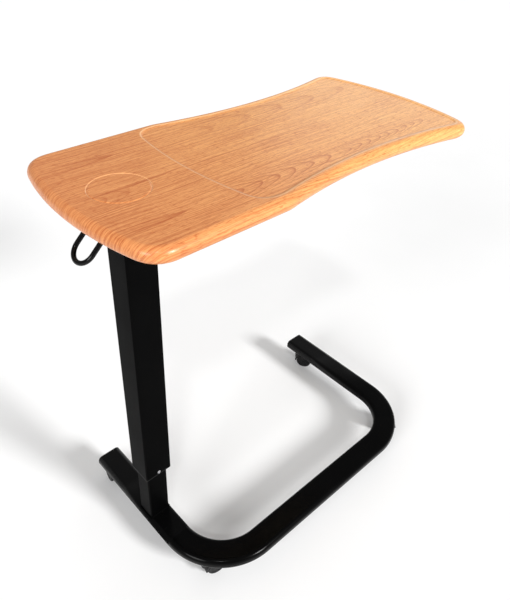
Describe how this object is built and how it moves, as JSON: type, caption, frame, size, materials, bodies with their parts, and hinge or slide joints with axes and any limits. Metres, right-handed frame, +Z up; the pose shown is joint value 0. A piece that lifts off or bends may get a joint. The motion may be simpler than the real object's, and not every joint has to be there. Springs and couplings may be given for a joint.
{
  "type": "overbed table",
  "caption": "Height-adjustable overbed table with a waisted wood-look tray top, a telescoping column and a C-shaped tube base on swivel casters.",
  "frame": {"origin": "on the floor under the centre of the whole object's footprint box, at rest", "axes": "+Z up, +X along the tabletop from the column towards the cantilevered end, +Y from the base's cross tube towards its open side"},
  "size_m": [0.762, 0.4256, 0.837],
  "materials": {
    "tabletop_wood": "satin",
    "column_paint": "satin",
    "bracket_paint": "matte",
    "base_paint": "semi-gloss",
    "spring_paint": "satin",
    "loop_coating": "gloss",
    "end_cap_plastic": "matte",
    "glide_plastic": "matte",
    "caster_hood_plastic": "satin",
    "caster_wheel_nylon": "matte",
    "zinc_steel": "zinc plated",
    "dark_steel": "black oxide",
    "chrome_rod": "polished"
  },
  "bodies": {
    "base": {"base_tube": "base_paint", "end_cap_left": "end_cap_plastic", "end_cap_right": "end_cap_plastic", "weld_bead": "base_paint", "lower_column": "column_paint", "upper_glide": "glide_plastic", "spring_seat": "bracket_paint", "spring_bolt": "zinc_steel", "spring_cylinder": "spring_paint", "rod_guide": "glide_plastic", "caster_socket_1": "glide_plastic", "caster_socket_2": "glide_plastic", "caster_socket_3": "glide_plastic", "caster_socket_4": "glide_plastic", "caster_stem_1": "zinc_steel", "caster_stem_2": "zinc_steel", "caster_stem_3": "zinc_steel", "caster_stem_4": "zinc_steel"},
    "tabletop_lift": {"tabletop": "tabletop_wood", "strap_left": "bracket_paint", "strap_middle": "bracket_paint", "strap_right": "bracket_paint", "support_channel": "bracket_paint", "tabletop_screws": "zinc_steel", "upper_column": "column_paint", "lower_glide": "glide_plastic", "glide_screws": "zinc_steel", "rod_bracket": "bracket_paint", "rod_nuts": "zinc_steel", "spring_rod": "chrome_rod", "spring_piston": "glide_plastic", "pivot_pin": "zinc_steel", "pivot_clips": "zinc_steel"},
    "release_lever": {"lever_barrel": "bracket_paint", "lever_tongue": "bracket_paint", "release_loop": "loop_coating"},
    "release_plunger": {"release_pin": "zinc_steel"},
    "caster_1": {"caster_hood_1": "caster_hood_plastic", "caster_axle_1": "dark_steel"},
    "wheel_1a": {"caster_wheel_1a": "caster_wheel_nylon"},
    "wheel_1b": {"caster_wheel_1b": "caster_wheel_nylon"},
    "caster_2": {"caster_hood_2": "caster_hood_plastic", "caster_axle_2": "dark_steel"},
    "wheel_2a": {"caster_wheel_2a": "caster_wheel_nylon"},
    "wheel_2b": {"caster_wheel_2b": "caster_wheel_nylon"},
    "caster_3": {"caster_hood_3": "caster_hood_plastic", "caster_axle_3": "dark_steel"},
    "wheel_3a": {"caster_wheel_3a": "caster_wheel_nylon"},
    "wheel_3b": {"caster_wheel_3b": "caster_wheel_nylon"},
    "caster_4": {"caster_hood_4": "caster_hood_plastic", "caster_axle_4": "dark_steel"},
    "wheel_4a": {"caster_wheel_4a": "caster_wheel_nylon"},
    "wheel_4b": {"caster_wheel_4b": "caster_wheel_nylon"}
  },
  "joints": [
    {"name": "column_lift", "type": "slide", "parent": "base", "child": "tabletop_lift", "axis": [0, 0, 1], "range_m": [-0.115, 0.265]},
    {"name": "release_hinge", "type": "hinge", "parent": "tabletop_lift", "child": "release_lever", "pos_m": [-0.324, 0.01523, 0.791], "axis": [0, 1, 0], "range_deg": [0, 6], "stiffness_Nm_per_rad": 2, "springref_deg": -5.73},
    {"name": "release_pin_travel", "type": "slide", "parent": "tabletop_lift", "child": "release_plunger", "axis": [0, 0, -1], "range_m": [0, 0.005]},
    {"name": "caster_1_swivel", "type": "hinge", "parent": "base", "child": "caster_1", "pos_m": [-0.2563, -0.1346, 0.04], "axis": [0, 0, 1], "continuous": true},
    {"name": "wheel_1a_spin", "type": "hinge", "parent": "caster_1", "child": "wheel_1a", "pos_m": [-0.24009, -0.12567, 0.02], "axis": [0.2079, 0.9781, 0], "continuous": true},
    {"name": "wheel_1b_spin", "type": "hinge", "parent": "caster_1", "child": "wheel_1b", "pos_m": [-0.24512, -0.14934, 0.02], "axis": [0.2079, 0.9781, 0], "continuous": true},
    {"name": "caster_2_swivel", "type": "hinge", "parent": "base", "child": "caster_2", "pos_m": [-0.278, 0.17123, 0.04], "axis": [0, 0, 1], "continuous": true},
    {"name": "wheel_2a_spin", "type": "hinge", "parent": "caster_2", "child": "wheel_2a", "pos_m": [-0.28748, 0.18712, 0.02], "axis": [-0.9848, 0.1736, 0], "continuous": true},
    {"name": "wheel_2b_spin", "type": "hinge", "parent": "caster_2", "child": "wheel_2b", "pos_m": [-0.26365, 0.18292, 0.02], "axis": [-0.9848, 0.1736, 0], "continuous": true},
    {"name": "caster_3_swivel", "type": "hinge", "parent": "base", "child": "caster_3", "pos_m": [0.34, 0.17123, 0.04], "axis": [0, 0, 1], "continuous": true},
    {"name": "wheel_3a_spin", "type": "hinge", "parent": "caster_3", "child": "wheel_3a", "pos_m": [0.35748, 0.16516, 0.02], "axis": [0.866, 0.5, 0], "continuous": true},
    {"name": "wheel_3b_spin", "type": "hinge", "parent": "caster_3", "child": "wheel_3b", "pos_m": [0.33652, 0.15306, 0.02], "axis": [0.866, 0.5, 0], "continuous": true},
    {"name": "caster_4_swivel", "type": "hinge", "parent": "base", "child": "caster_4", "pos_m": [0.3183, -0.1346, 0.04], "axis": [0, 0, 1], "continuous": true},
    {"name": "wheel_4a_spin", "type": "hinge", "parent": "caster_4", "child": "wheel_4a", "pos_m": [0.33675, -0.13594, 0.02], "axis": [0.7071, 0.7071, 0], "continuous": true},
    {"name": "wheel_4b_spin", "type": "hinge", "parent": "caster_4", "child": "wheel_4b", "pos_m": [0.31964, -0.15305, 0.02], "axis": [0.7071, 0.7071, 0], "continuous": true}
  ],
  "couplings": [
    {"joint": "release_pin_travel", "follows": "release_hinge", "m_per_rad": 0.046}
  ]
}
